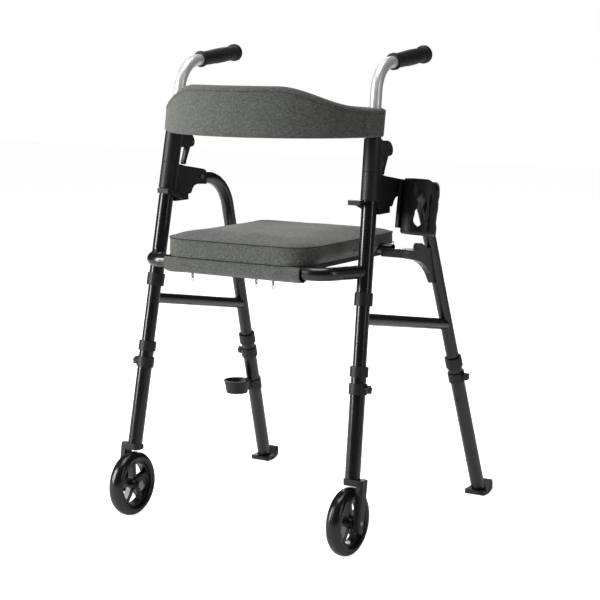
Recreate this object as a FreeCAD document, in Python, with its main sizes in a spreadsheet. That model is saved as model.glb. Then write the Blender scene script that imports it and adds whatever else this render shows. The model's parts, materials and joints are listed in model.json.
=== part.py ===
"""Folding rollator walker with a flip-up padded seat, built as a parametric document.

Millimetres. +Z is up, -Y is the front (wheels and backrest), +Y is the rear (hand grips and
glides), +X is the right-hand side. The origin is the centre of the footprint box, on the floor.
The right-hand half is modelled and the left-hand half is its mirror image in the YZ plane.
"""

import FreeCAD
import Part
import math
import os

V = FreeCAD.Vector

doc = FreeCAD.newDocument("rollator")
sheet = doc.addObject("Spreadsheet::Sheet", "Sizes")

SIZES = [
    # placing of the two tube axes; each leans by a slope per millimetre of height
    ("row_shift", 198.0),
    ("side_shift", 10.56),
    ("front_x_high", 229.7),
    ("front_y_high", 46.4),
    ("front_z_high", 610.6),
    ("front_slope_x", -0.0388),
    ("front_slope_y", 0.1735),
    ("rear_x_low", 251.6),
    ("rear_y_low", 384.7),
    ("rear_z_low", 259.8),
    ("rear_slope_x", -0.0578),
    ("rear_slope_y", -0.34),
    # tube stock
    ("outer_rad", 14.3),
    ("outer_bore_rad", 12.75),
    ("inner_rad", 12.7),
    ("inner_bore_rad", 11.1),
    ("rail_rad", 11.1),
    ("rail_bore_rad", 9.6),
    ("handle_rad", 11.1),
    ("handle_bore_rad", 9.6),
    ("seat_tube_rad", 9.5),
    ("seat_tube_bore_rad", 8.0),
    # heights along the front tubes
    ("upright_low_z", 455.7),
    ("upright_top_z", 797.5),
    ("pivot_low_z", 204.0),
    ("pivot_top_z", 543.0),
    ("collar_low_z", 453.2),
    ("collar_top_z", 477.6),
    ("sleeve_low_z", 643.0),
    ("sleeve_split_z", 693.9),
    ("sleeve_gap", 0.6),
    ("sleeve_top_z", 755.1),
    ("sleeve_rad", 17.3),
    ("front_leg_low_z", 141.8),
    ("front_leg_top_z", 338.1),
    ("ring_rad", 17.2),
    ("front_collar_low_z", 325.1),
    ("front_collar_top_z", 344.1),
    ("front_clamp_low_z", 293.2),
    ("front_clamp_top_z", 313.2),
    # rear legs
    ("rear_top_z", 657.0),
    ("rear_tube_start_y", 124.0),
    ("rear_bend_rad", 95.0),
    ("rear_inner_low_z", 165.0),
    ("rear_foot_low_z", 10.0),
    ("rear_foot_top_z", 293.7),
    ("rear_collar_low_z", 283.8),
    ("rear_collar_top_z", 303.7),
    ("rear_clamp_low_z", 252.5),
    ("rear_clamp_top_z", 271.5),
    ("button_hole_z", 211.0),
    ("button_hole_rad", 3.2),
    ("rail_front_z", 429.7),
    ("rail_rear_z", 373.5),
    # hinge arm
    ("arm_half_width", 14.5),
    ("arm_end_y", 168.0),
    ("arm_top_front_z", 687.0),
    ("arm_top_rear_z", 675.5),
    ("arm_low_rear_z", 644.5),
    ("arm_low_front_z", 629.6),
    ("block_low_z", 618.0),
    ("block_front_y", 62.0),
    ("block_rear_y", 105.0),
    ("block_half_width", 14.0),
    # fold paddle
    ("paddle_width", 13.0),
    ("paddle_high", 9.0),
    ("paddle_reach", 28.0),
    # front cross tube
    ("cross_rad", 12.7),
    ("cross_bore_rad", 11.1),
    ("cross_z", 515.5),
    ("cross_front_y", -52.0),
    ("cross_corner_x", 190.0),
    ("cross_bend_rad", 40.0),
    # backrest
    ("back_centre_y", -80.5),
    ("back_end_y", 59.5),
    ("back_end_x", 226.0),
    ("back_thick", 13.0),
    ("back_low_z", 759.0),
    ("back_side_z", 809.5),
    ("back_hump_z", 851.5),
    ("back_hump_half", 92.0),
    ("back_slope_half", 232.0),
    ("back_wrap_rad", 20.5),
    ("bow_thick", 3.0),
    ("bow_low_z", 774.0),
    ("bow_top_z", 800.0),
    # handles
    ("handle_low_z", 588.0),
    ("handle_corner_z", 888.7),
    ("handle_bend_rad", 62.0),
    ("grip_front_y", 152.1),
    ("grip_end_y", 283.1),
    ("grip_rise", 0.104),
    ("grip_rad", 15.0),
    ("grip_flange_rad", 17.2),
    ("bush_rad", 14.3),
    # handle lock lever
    ("lever_pivot_y", 119.5),
    ("lever_pivot_z", 731.5),
    ("lever_long", 42.3),
    ("lever_thick", 8.0),
    ("lever_slot", 8.8),
    ("lever_pin_rad", 2.5),
    ("cheek_half_width", 10.5),
    # wheels
    ("wheel_rad", 63.5),
    ("wheel_x", 246.2),
    ("wheel_y", -47.6),
    ("tyre_section_rad", 11.5),
    ("tyre_wide", 30.0),
    ("rim_rad", 45.0),
    ("hub_rad", 13.0),
    ("hub_wide", 30.0),
    ("spoke_wide", 9.0),
    ("spoke_count", 5),
    ("axle_rad", 4.0),
    ("axle_play", 0.08),
    ("fork_inner_x", 262.8),
    ("fork_outer_x", 275.5),
    ("fork_wide", 24.0),
    # glides
    ("glide_thick", 9.0),
    ("glide_wide", 45.0),
    ("glide_front_y", 447.0),
    ("glide_rear_y", 489.0),
    ("glide_tip_y", 507.0),
    ("glide_tip_z", 22.0),
    # knobs
    ("knob_rad", 8.0),
    ("knob_thick", 7.0),
    ("knob_stem_rad", 3.0),
    # seat
    ("seat_half_wide", 167.0),
    ("seat_front_y", -69.0),
    ("seat_rear_y", 285.0),
    ("seat_low_z", 526.0),
    ("seat_edge_z", 573.0),
    ("seat_corner_rad", 42.0),
    ("seat_edge_rad", 12.0),
    ("board_thick", 8.0),
    ("board_front_y", -32.0),
    ("board_inset", 14.0),
    ("seat_tube_y", 215.7),
    ("seat_tube_half", 191.0),
    ("clip_x", 112.0),
    ("clip_wide", 34.0),
    ("clip_rad", 17.0),
    ("clip_play", 0.08),
    ("cover_half", 152.0),
    ("cover_thick", 1.6),
    # cup holder
    ("cup_x", 284.0),
    ("cup_y", 138.5),
    ("cup_low_z", 576.0),
    ("cup_top_z", 677.0),
    ("cup_rad", 33.7),
    ("cup_wall", 2.6),
    # cane cup
    ("cane_rim_z", 200.0),
    ("cane_low_z", 172.0),
    ("cane_top_rad", 28.0),
    ("cane_low_rad", 23.0),
    ("cane_wall", 2.2),
    ("cane_out_x", 11.5),
    ("cane_ahead_y", 50.0),
]

for number, (alias, value) in enumerate(SIZES, start=1):
    sheet.set(f"A{number}", alias)
    sheet.set(f"B{number}", str(value))
    sheet.setAlias(f"B{number}", alias)
doc.recompute()


def size(alias):
    """A driving dimension, read back from the sheet."""
    return float(sheet.get(alias))


SHIFT = size("row_shift")
SIDE_SHIFT = size("side_shift")


def front_at(z):
    """Point of the right-hand front tube axis at height z."""
    rise = z - size("front_z_high")
    x = size("front_x_high") + rise * size("front_slope_x")
    y = size("front_y_high") + rise * size("front_slope_y")
    return V(x, y - SHIFT, z)


def rear_at(z):
    """Point of the right-hand rear leg axis at height z."""
    rise = z - size("rear_z_low")
    x = size("rear_x_low") + rise * size("rear_slope_x")
    y = size("rear_y_low") + rise * size("rear_slope_y")
    return V(x, y - SHIFT, z)


FRONT_UP = V(size("front_slope_x"), size("front_slope_y"), 1).normalize()
REAR_UP = V(size("rear_slope_x"), size("rear_slope_y"), 1).normalize()
X_AXIS = V(1, 0, 0)
Y_AXIS = V(0, 1, 0)
Z_AXIS = V(0, 0, 1)


def at(x, y, z):
    """A point measured from the middle plane, the front datum and the floor."""
    return V(x, y - SHIFT, z)


def place(obj, base, direction=Z_AXIS):
    """Put obj at base with its own Z along direction."""
    obj.Placement = FreeCAD.Placement(base, FreeCAD.Rotation(Z_AXIS, direction))
    return obj


def cylinder(name, radius, height, base, direction=Z_AXIS):
    """A Part::Cylinder whose radius and height are bound to expressions."""
    obj = doc.addObject("Part::Cylinder", name)
    obj.setExpression("Radius", radius)
    obj.setExpression("Height", height)
    return place(obj, base, direction)


def box(name, length, width, height, corner):
    """A Part::Box with one corner at corner."""
    obj = doc.addObject("Part::Box", name)
    obj.setExpression("Length", length)
    obj.setExpression("Width", width)
    obj.setExpression("Height", height)
    return place(obj, corner)


def cut(name, base, tool):
    """Base minus tool."""
    obj = doc.addObject("Part::Cut", name)
    obj.Base = base
    obj.Tool = tool
    return obj


def fuse(name, shapes):
    """Union of several shapes."""
    obj = doc.addObject("Part::MultiFuse", name)
    obj.Shapes = shapes
    obj.Refine = True
    return obj


def group(name, links):
    """Several separate solids kept in one sub-part."""
    obj = doc.addObject("Part::Compound", name)
    obj.Links = links
    return obj


def mirrored(name, source, middle=-SIDE_SHIFT):
    """The left-hand twin of a right-hand piece, about the plane x = middle."""
    obj = doc.addObject("Part::Mirroring", name)
    obj.Source = source
    obj.Base = V(middle, 0, 0)
    obj.Normal = X_AXIS
    return obj


def feature(name, shape):
    """A Part::Feature for a form that the primitives don't make."""
    obj = doc.addObject("Part::Feature", name)
    obj.Shape = shape
    return obj


def length_between(low, high, slope):
    """Expression for the length along a leaning tube between two heights."""
    sx = f"Sizes.{slope}_slope_x"
    sy = f"Sizes.{slope}_slope_y"
    return f"(Sizes.{high} - Sizes.{low}) * sqrt(1 + {sx} * {sx} + {sy} * {sy})"


def rounded_path(points, radii):
    """A wire through points with the inner corners rounded to radii."""
    edges = []
    start = points[0]
    for i in range(1, len(points) - 1):
        corner = points[i]
        before = (points[i - 1] - corner).normalize()
        after = (points[i + 1] - corner).normalize()
        half = before.getAngle(after) / 2
        reach = radii[i - 1] / math.tan(half)
        enter = corner + before * reach
        leave = corner + after * reach
        middle_dir = (before + after).normalize()
        middle = corner + middle_dir * (radii[i - 1] / math.sin(half) - radii[i - 1])
        edges.append(Part.makeLine(start, enter))
        edges.append(Part.Arc(enter, middle, leave).toShape())
        start = leave
    edges.append(Part.makeLine(start, points[-1]))
    return Part.Wire(edges)


def rod_along(path, radius):
    """A solid round bar along path."""
    first = path.Edges[0]
    start = first.valueAt(first.FirstParameter)
    tangent = first.tangentAt(first.FirstParameter)
    ring = Part.Wire([Part.makeCircle(radius, start, tangent)])
    return path.makePipeShell([ring], True, False)


def tube_along(path, radius, bore):
    """A hollow round tube along path."""
    return rod_along(path, radius).cut(rod_along(path, bore))


def prism(points, direction):
    """A straight-sided solid from a closed outline swept along direction."""
    face = Part.Face(Part.makePolygon(points + [points[0]]))
    return face.extrude(direction)


def straight_tube(name, low, high, slope, radius, bore, where, up):
    """A straight tube on one of the leaning axes."""
    long = length_between(low, high, slope)
    base = where(size(low))
    outside = cylinder(name + "_outside", f"Sizes.{radius}", long, base, up)
    inside = cylinder(name + "_bore", f"Sizes.{bore}", long, base, up)
    return cut(name, outside, inside)


# ---------------------------------------------------------------- front frame
upright = straight_tube(
    "upright_right", "upright_low_z", "upright_top_z", "front", "outer_rad",
    "outer_bore_rad", front_at, FRONT_UP,
)
upright_left = mirrored("upright_left", upright)


def cross_tube_shape():
    """The bowed tube at seat height, coped to the two uprights."""
    z = size("cross_z")
    end = front_at(z)
    corner = at(size("cross_corner_x"), size("cross_front_y"), z)
    points = [end, corner, V(-corner.x, corner.y, z), V(-end.x, end.y, z)]
    path = rounded_path(points, [size("cross_bend_rad")] * 2)
    tube = tube_along(path, size("cross_rad"), size("cross_bore_rad"))
    for sign in (1, -1):
        low = front_at(z - 60)
        high = front_at(z + 60)
        along = V(sign * (high.x - low.x), high.y - low.y, high.z - low.z)
        base = V(sign * low.x, low.y, low.z)
        tube = tube.cut(Part.makeCylinder(size("outer_rad"), along.Length, base, along))
    solids = sorted(tube.Solids, key=lambda s: s.Volume)
    return solids[-1]


cross_tube = feature("front_cross_tube", cross_tube_shape())

collar_ring = straight_tube(
    "collar_ring_right", "collar_low_z", "collar_top_z", "front", "ring_rad",
    "outer_rad", front_at, FRONT_UP,
)
hinge_collars = group("hinge_collars", [collar_ring, mirrored("collar_ring_left", collar_ring, 0)])

collar_screw = cylinder(
    "collar_screw_right", "2.6", "1.6",
    front_at(size("collar_low_z") + 7) + V(4.2, size("ring_rad") * 0.99, -3), V(0.23, 0.96, -0.16),
)
collar_screws = group(
    "collar_screws", [collar_screw, mirrored("collar_screw_left", collar_screw, 0)],
)


def clamp_shape():
    """Upper half of the sleeve with the cheeks that carry the lock lever."""
    low = size("sleeve_split_z") + size("sleeve_gap")
    base = front_at(low)
    top = front_at(size("sleeve_top_z"))
    long = (top - base).Length
    body = Part.makeCylinder(size("sleeve_rad"), long, base, FRONT_UP)
    pivot_y = size("lever_pivot_y")
    pivot_z = size("lever_pivot_z")
    half = size("cheek_half_width")
    x = front_at(pivot_z).x
    outline = [
        at(x - half, 62, pivot_z - 7),
        at(x - half, pivot_y - 12, pivot_z - 9.5),
        at(x - half, pivot_y, pivot_z - 8.5),
        at(x - half, pivot_y + 5.5, pivot_z - 6),
        at(x - half, pivot_y + 8, pivot_z),
        at(x - half, pivot_y + 6.5, pivot_z + 7),
        at(x - half, pivot_y, pivot_z + 15),
        at(x - half, pivot_y - 12, pivot_z + 20),
        at(x - half, 70, pivot_z + 21.5),
    ]
    body = body.fuse(prism(outline, V(2 * half, 0, 0)))
    slot = size("lever_slot")
    body = body.cut(Part.makeBox(slot, 60, 60, at(x - slot / 2, pivot_y - 14, 700)))
    pin = Part.makeCylinder(size("lever_pin_rad"), 60, at(x - 30, pivot_y, pivot_z), X_AXIS)
    body = body.cut(pin)
    bore = Part.makeCylinder(size("outer_rad"), long + 20, front_at(low - 8), FRONT_UP)
    return body.cut(bore).removeSplitter()


clamp = feature("handle_clamp_right", clamp_shape())
clamp_left = mirrored("handle_clamp_left", clamp)

pin_x = front_at(size("lever_pivot_z")).x
lever_pin = cylinder(
    "lever_pin_right", "Sizes.lever_pin_rad", "2 * Sizes.cheek_half_width + 4",
    at(pin_x - size("cheek_half_width") - 1, size("lever_pivot_y"), size("lever_pivot_z")), X_AXIS,
)
lever_pins = group("lever_pins", [lever_pin, mirrored("lever_pin_left", lever_pin, 0)])

bush_out = cylinder(
    "bush_outside", "Sizes.bush_rad", "7", front_at(size("upright_top_z")), FRONT_UP,
)
bush_in = cylinder(
    "bush_bore", "Sizes.handle_rad + 0.06", "7", front_at(size("upright_top_z")), FRONT_UP,
)
bush = cut("bush_right", bush_out, bush_in)
handle_bushes = group("handle_bushes", [bush, mirrored("bush_left", bush, 0)])


def plan_arc(offset):
    """Plan curve of the backrest at its lower edge, offset outwards by offset."""
    half = size("back_end_x")
    sag = size("back_end_y") - size("back_centre_y")
    radius = (half * half + sag * sag) / (2 * sag)
    centre_y = size("back_centre_y") + radius - SHIFT
    reach = math.asin(half / radius)
    points = []
    for turn in (-reach, 0.0, reach):
        r = radius + offset
        points.append((r * math.sin(turn), centre_y - r * math.cos(turn)))
    return points


def curved_wall(inner, outer, low, high):
    """A wall that follows the backrest's plan curve and leans with the uprights."""
    lean = size("front_slope_y")
    shift = (low - size("back_low_z")) * lean
    a = [V(x, y + shift, low) for x, y in plan_arc(outer)]
    b = [V(x, y + shift, low) for x, y in plan_arc(inner)]
    edges = [
        Part.Arc(a[0], a[1], a[2]).toShape(),
        Part.makeLine(a[2], b[2]),
        Part.Arc(b[2], b[1], b[0]).toShape(),
        Part.makeLine(b[0], a[0]),
    ]
    rise = high - low
    return Part.Face(Part.Wire(edges)).extrude(V(0, rise * lean, rise))


def upright_rod(radius, low, high, sign):
    """A solid round bar on the axis of either upright."""
    a = front_at(low)
    b = front_at(high)
    start = V(sign * a.x, a.y, a.z)
    along = V(sign * (b.x - a.x), b.y - a.y, b.z - a.z)
    return Part.makeCylinder(radius, along.Length, start, along)


def pad_outline():
    """Front outline of the band: level below, with a raised hump above."""
    low = size("back_low_z")
    side = size("back_side_z")
    top = size("back_hump_z")
    hump = size("back_hump_half")
    slope = size("back_slope_half")
    ys = -400.0
    right = [V(300, ys, low - 5), V(300, ys, side)]
    rise = top - side
    steps = 12
    for part in range(steps + 1):
        turn = math.pi * part / steps
        x = slope + (hump - slope) * part / steps
        right.append(V(x, ys, side + rise * (1 - math.cos(turn)) / 2))
    left = [V(-p.x, p.y, p.z) for p in reversed(right)]
    return prism(right + left, V(0, 800, 0))


def bow_shape():
    """The springy strip inside the backrest, ending against the uprights."""
    half = size("bow_thick") / 2
    strip = curved_wall(-half, half, size("bow_low_z"), size("bow_top_z"))
    for sign in (1, -1):
        strip = strip.cut(upright_rod(size("outer_rad"), 740, 830, sign))
    solids = sorted(strip.Solids, key=lambda s: s.Volume)
    return solids[-1]


bow = feature("backrest_bow", bow_shape())


def pad_shape():
    """The padded band, with a loop round each upright and a pocket for the strip."""
    half = size("back_thick") / 2
    low = size("back_low_z")
    wall = curved_wall(-half, half, low, size("back_hump_z") + 4).common(pad_outline())
    top = size("back_side_z")
    for sign in (1, -1):
        wall = wall.fuse(upright_rod(size("back_wrap_rad"), low + 0.5, top - 2, sign))
    for sign in (1, -1):
        wall = wall.cut(upright_rod(size("outer_rad") + 0.2, low - 20, top + 20, sign))
    wall = wall.cut(bow.Shape)
    solids = sorted(wall.Solids, key=lambda s: s.Volume)
    return solids[-1]


pad = feature("backrest_pad", pad_shape())

# ---------------------------------------------------------------- side frame
pivot_tube = straight_tube(
    "pivot_tube_right", "pivot_low_z", "pivot_top_z", "front", "inner_rad",
    "inner_bore_rad", front_at, FRONT_UP,
)
pivot_tube_left = mirrored("pivot_tube_left", pivot_tube)


def rear_leg_path():
    """Level run out of the hinge arm, one bend, then down the leaning leg."""
    corner = rear_at(size("rear_top_z"))
    start = V(corner.x, size("rear_tube_start_y") - SHIFT, corner.z)
    return rounded_path([start, corner, rear_at(size("rear_inner_low_z"))], [size("rear_bend_rad")])


rear_leg = feature(
    "rear_leg_right", tube_along(rear_leg_path(), size("inner_rad"), size("inner_bore_rad")),
)
rear_leg_left = mirrored("rear_leg_left", rear_leg)


PADDLE_PIVOT_Y = 80.0


def arm_shape():
    """Plastic hinge: a sleeve that turns on the upright, an arm that holds the rear leg, and
    the lock block under it."""
    low = size("sleeve_low_z")
    base = front_at(low)
    long = (front_at(size("sleeve_split_z")) - base).Length
    body = Part.makeCylinder(size("sleeve_rad"), long, base, FRONT_UP)
    half = size("arm_half_width")
    x = rear_at(size("rear_top_z")).x
    end = size("arm_end_y")
    block = size("block_rear_y")
    top_rear = size("arm_top_rear_z")
    low_front = size("arm_low_front_z")
    low_rear = size("arm_low_rear_z")
    outline = [
        at(x - half, 52, size("sleeve_low_z") + 2),
        at(x - half, 62, low_front),
        at(x - half, block + 7, low_front),
        at(x - half, block + 11, low_front + 3),
        at(x - half, block + 14, low_front + 9),
        at(x - half, block + 20, low_rear),
        at(x - half, block + 30, low_rear + 2.5),
        at(x - half, end, low_rear),
        at(x - half, end, top_rear - 5),
        at(x - half, end - 3, top_rear - 2),
        at(x - half, end - 10, top_rear + 1),
        at(x - half, 92, size("arm_top_front_z")),
        at(x - half, 76, size("arm_top_front_z") + 3.5),
        at(x - half, 62, size("arm_top_front_z") + 4),
    ]
    arm = prism(outline, V(2 * half, 0, 0))
    edges = [e for e in arm.Edges if e.Length > 60 and abs(e.tangentAt(e.FirstParameter).x) < 0.1]
    arm = arm.makeFillet(3.0, edges)
    width = size("block_half_width")
    front = size("block_front_y")
    lock = Part.makeBox(
        2 * width, block - front, size("arm_low_front_z") - size("block_low_z"),
        at(x - width, front, size("block_low_z")),
    )
    pin = Part.makeCylinder(
        2.5, 9.0, at(x - width - 8.5, PADDLE_PIVOT_Y, size("arm_low_front_z") - 3.6), X_AXIS,
    )
    body = body.fuse([arm, lock, pin])
    reach = Part.makeCylinder(
        size("inner_rad"), 80, at(x, size("rear_tube_start_y"), size("rear_top_z")), Y_AXIS,
    )
    body = body.cut(reach)
    bore = Part.makeCylinder(size("outer_rad") + 0.06, 140, front_at(low - 30), FRONT_UP)
    return body.cut(bore).removeSplitter()


hinge_arm = feature("hinge_arm_right", arm_shape())
hinge_arm_left = mirrored("hinge_arm_left", hinge_arm)


def rail_shape():
    """Side rail between the pivot tube and the rear leg, coped to both."""
    a = front_at(size("rail_front_z"))
    b = rear_at(size("rail_rear_z"))
    tube = Part.makeCylinder(size("rail_rad"), (b - a).Length, a, b - a)
    tube = tube.cut(Part.makeCylinder(size("rail_bore_rad"), (b - a).Length, a, b - a))
    tube = tube.cut(upright_rod(size("inner_rad"), 380, 480, 1))
    low = rear_at(330)
    tube = tube.cut(Part.makeCylinder(size("inner_rad"), 120, low, REAR_UP))
    solids = sorted(tube.Solids, key=lambda s: s.Volume)
    return solids[-1]


rail = feature("side_rail_right", rail_shape())
rail_left = mirrored("side_rail_left", rail)


def bracket_shape():
    """Gusset on the front of the rear leg with a cradle for the seat's rear tube."""
    tube_y = size("seat_tube_y")
    tube_z = size("seat_low_z") + size("seat_tube_rad") + 0.1
    leg = rear_at(tube_z)
    inner = 172.0
    outline = [
        at(0, tube_y - 31, tube_z - 6),
        at(0, tube_y - 27, tube_z - 1),
        at(0, tube_y - 20, tube_z + 2),
        at(0, tube_y + 9.7, tube_z + 2),
        at(0, tube_y + 11, tube_z + 9),
        at(0, tube_y + 16, tube_z + 12),
        at(0, tube_y + 24, tube_z + 12),
        at(0, tube_y + 36, tube_z + 6),
        at(0, tube_y + 50, tube_z),
        V(0, rear_at(534).y, 534),
        V(0, rear_at(462).y, 462),
        at(0, 292, 463),
        at(0, 287, 470),
        at(0, 276, 484),
        at(0, 262, 497),
        at(0, 245, 507),
        at(0, 225, 514.5),
        at(0, 205, 519),
        at(0, 190, 522),
    ]
    plate = prism([V(leg.x - 6, p.y, p.z) for p in outline], V(12, 0, 0))
    shelf = Part.makeBox(
        leg.x + 6 - inner, 24, 17, at(inner, tube_y - 13.5, tube_z - 15),
    )
    body = plate.fuse(shelf)
    trough = Part.makeCylinder(
        size("seat_tube_rad") + 0.15, size("seat_tube_half") + 3, V(0, tube_y - SHIFT, tube_z), X_AXIS,
    )
    body = body.cut(trough)
    body = body.cut(Part.makeCylinder(size("inner_rad"), 130, rear_at(450), REAR_UP))
    solids = sorted(body.removeSplitter().Solids, key=lambda s: s.Volume)
    return solids[-1]


bracket = feature("seat_bracket_right", bracket_shape())
bracket_left = mirrored("seat_bracket_left", bracket)


side_heads = []
for number, z in enumerate((512.0, 486.0)):
    spot = rear_at(z) + V(0, size("inner_rad") * 0.96, size("inner_rad") * 0.34)
    side_heads.append(cylinder(f"gusset_screw_{number}", "4", "2.2", spot, V(0, 0.94, 0.34)))
arm_x = rear_at(size("rear_top_z")).x
arm_inner = arm_x - size("arm_half_width")
side_heads.append(cylinder("arm_screw", "4.2", "2.2", at(arm_inner, 150, 661.5), V(-1, 0, 0)))
side_screws = group("side_screws_right", side_heads)
side_screws_left = mirrored("side_screws_left", side_screws)


def smooth_face(points):
    """A flat face bounded by a smooth closed curve through points."""
    curve = Part.BSplineCurve()
    curve.interpolate(points, PeriodicFlag=True)
    return Part.Face(Part.Wire([curve.toShape()]))


def cup_shape():
    """Open-topped basket with teardrop windows and a dipped rim, held by a plate and a clip."""
    rad = size("cup_rad")
    wall = size("cup_wall")
    long = (size("cup_top_z") - size("cup_low_z")) * 1.015
    shell = Part.makeCylinder(rad, long)
    rim = [e for e in shell.Edges if e.BoundBox.ZMax < 0.1]
    shell = shell.makeFillet(5.0, rim)
    plate = Part.makeBox(7, 52, long - 12, V(-rad - 2.5, -26, 10))
    shell = shell.fuse(plate)
    hollow = Part.makeCylinder(rad - wall, long, V(0, 0, 5))
    shell = shell.cut(hollow)
    shell = shell.cut(Part.makeCylinder(rad - 12, 30, V(0, 0, -10)))
    window = (
        (-1, 6), (7, 12), (14.5, 22), (13.5, 38), (15, 52), (10, 68), (1, 82), (-4.5, 88),
        (-6, 82), (-3.5, 66), (2, 50), (-4, 34), (-8.5, 20), (-6.5, 10),
    )
    for turn in (-76, 14, 104):
        angle = math.radians(turn)
        outward = V(math.cos(angle), math.sin(angle), 0)
        across = V(-math.sin(angle), math.cos(angle), 0)
        drop = smooth_face([across * (u * 1.2) + V(0, 0, 4 + w * 1.0) for u, w in window])
        shell = shell.cut(drop.extrude(outward * 60))
    for turn in (-31, 59):
        angle = math.radians(turn)
        outward = V(math.cos(angle), math.sin(angle), 0)
        across = V(-math.sin(angle), math.cos(angle), 0)
        slit = smooth_face([across * u + V(0, 0, w) for u, w in (
            (0, 7), (2.6, 14), (2, 26), (1.4, 50), (1.4, 72), (0, 78), (-1.4, 72), (-1.4, 50),
            (-2, 26), (-2.6, 14))])
        shell = shell.cut(slit.extrude(outward * 60))
    dip = smooth_face([V(0, y, long + z) for y, z in (
        (-30, 1), (-18, -3), (-4, -17), (6, -24), (16, -22), (24, -8), (32, 3), (0, 24))])
    shell = shell.cut(dip.extrude(V(60, 0, 0)))
    up = V(0, size("front_slope_y"), 1)
    base = at(size("cup_x"), size("cup_y"), size("cup_low_z"))
    shell.Placement = FreeCAD.Placement(base, FreeCAD.Rotation(Z_AXIS, up))
    hollow.Placement = FreeCAD.Placement(base, FreeCAD.Rotation(Z_AXIS, up)).multiply(hollow.Placement)
    leg_x = arm_x + size("inner_rad")
    clip = Part.makeBox(
        size("cup_x") - rad + 2 - leg_x, 30, 20, at(leg_x, 134, size("rear_top_z") - 10),
    )
    shell = shell.fuse(clip).cut(hollow)
    shell = shell.cut(hinge_arm.Shape)
    leg = rod_along(rear_leg_path(), size("inner_rad"))
    solids = sorted(shell.cut(leg).removeSplitter().Solids, key=lambda s: s.Volume)
    return solids[-1]


cup_holder = feature("cup_holder", cup_shape())


def paddle_shape():
    """Fold-release paddle: a bar on a pin beside the block, with a finger tab in front."""
    wide = size("paddle_width")
    high = size("paddle_high")
    outer = arm_inner - 0.5
    pin_z = size("arm_low_front_z") - 3.6
    tab_low = size("sleeve_low_z") - 6
    outline = [
        at(outer, PADDLE_PIVOT_Y + 6, pin_z - 4.5),
        at(outer, PADDLE_PIVOT_Y + 6, pin_z + 4.5),
        at(outer, PADDLE_PIVOT_Y - 6, pin_z + 5),
        at(outer, 32, tab_low + high),
        at(outer, 18, tab_low + high),
        at(outer, 18, tab_low),
        at(outer, 32, tab_low),
        at(outer, PADDLE_PIVOT_Y - 6, pin_z - 4.5),
    ]
    bar = prism(outline, V(-7, 0, 0))
    tab = Part.makeBox(
        size("paddle_reach"), wide, high, at(arm_x - size("paddle_reach"), 18, tab_low),
    )
    tab = tab.makeFillet(2.5, [e for e in tab.Edges if abs(e.tangentAt(0).z) > 0.9])
    body = bar.fuse(tab)
    hole = Part.makeCylinder(2.56, 30, at(outer - 20, PADDLE_PIVOT_Y, pin_z), X_AXIS)
    solids = sorted(body.cut(hole).removeSplitter().Solids, key=lambda s: s.Volume)
    return solids[-1]


paddle = feature("fold_paddle_right", paddle_shape())
paddle_left = mirrored("fold_paddle_left", paddle)

# ---------------------------------------------------------------- front legs and wheels
front_leg = straight_tube(
    "front_leg_tube_right", "front_leg_low_z", "front_leg_top_z", "front", "outer_rad",
    "outer_bore_rad", front_at, FRONT_UP,
)
front_leg_left = mirrored("front_leg_tube_left", front_leg)


def boss_shape(centre, up):
    """Boss on the outer side of a clamp ring, with the knob's threaded hole."""
    out = X_AXIS - up * X_AXIS.dot(up)
    out.normalize()
    boss = Part.makeCylinder(6.5, size("ring_rad") + 1.2, centre, out)
    boss = boss.cut(Part.makeCylinder(size("knob_stem_rad") + 0.06, 60, centre, out))
    return boss, out


def rings_shape(low, high, clamp_low, clamp_high, where, up):
    """The collar at the tube's mouth and the clamp ring below it."""
    rings = []
    for a, b in ((low, high), (clamp_low, clamp_high)):
        base = where(size(a))
        long = (where(size(b)) - base).Length
        ring = Part.makeCylinder(size("ring_rad"), long, base, up)
        if a == clamp_low:
            centre = where((size(a) + size(b)) / 2)
            boss, out = boss_shape(centre, up)
            ring = ring.fuse(boss)
            ring = ring.cut(Part.makeCylinder(size("knob_stem_rad") + 0.06, 60, centre, out))
        ring = ring.cut(Part.makeCylinder(size("outer_rad"), 80, base - up * 20, up))
        rings.append(ring.removeSplitter())
    return Part.makeCompound(rings)


front_rings = feature(
    "front_leg_rings_right",
    rings_shape("front_collar_low_z", "front_collar_top_z", "front_clamp_low_z", "front_clamp_top_z",
                front_at, FRONT_UP),
)
front_rings_left = mirrored("front_leg_rings_left", front_rings)


def knob_shape(centre, up):
    """Five-lobed hand knob on a short threaded stem."""
    out = X_AXIS - up * X_AXIS.dot(up)
    out.normalize()
    start = size("ring_rad") + 1.5
    head = Part.makeCylinder(size("knob_rad") - 2.2, size("knob_thick"), centre + out * start, out)
    side = up.cross(out)
    for i in range(5):
        turn = 2 * math.pi * i / 5
        spoke = up * math.cos(turn) + side * math.sin(turn)
        lobe_at = centre + out * start + spoke * (size("knob_rad") - 3)
        head = head.fuse(Part.makeCylinder(3.0, size("knob_thick"), lobe_at, out))
    stem_from = size("outer_rad") + 0.2
    stem = Part.makeCylinder(
        size("knob_stem_rad"), start - stem_from + 1, centre + out * stem_from, out,
    )
    return head.fuse(stem).removeSplitter()


front_clamp_mid = (size("front_clamp_low_z") + size("front_clamp_top_z")) / 2
rear_clamp_mid = (size("rear_clamp_low_z") + size("rear_clamp_top_z")) / 2
knob_front = feature("knob_front_right", knob_shape(front_at(front_clamp_mid), FRONT_UP))
knob_front_left = mirrored("knob_front_left", knob_front)


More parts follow.
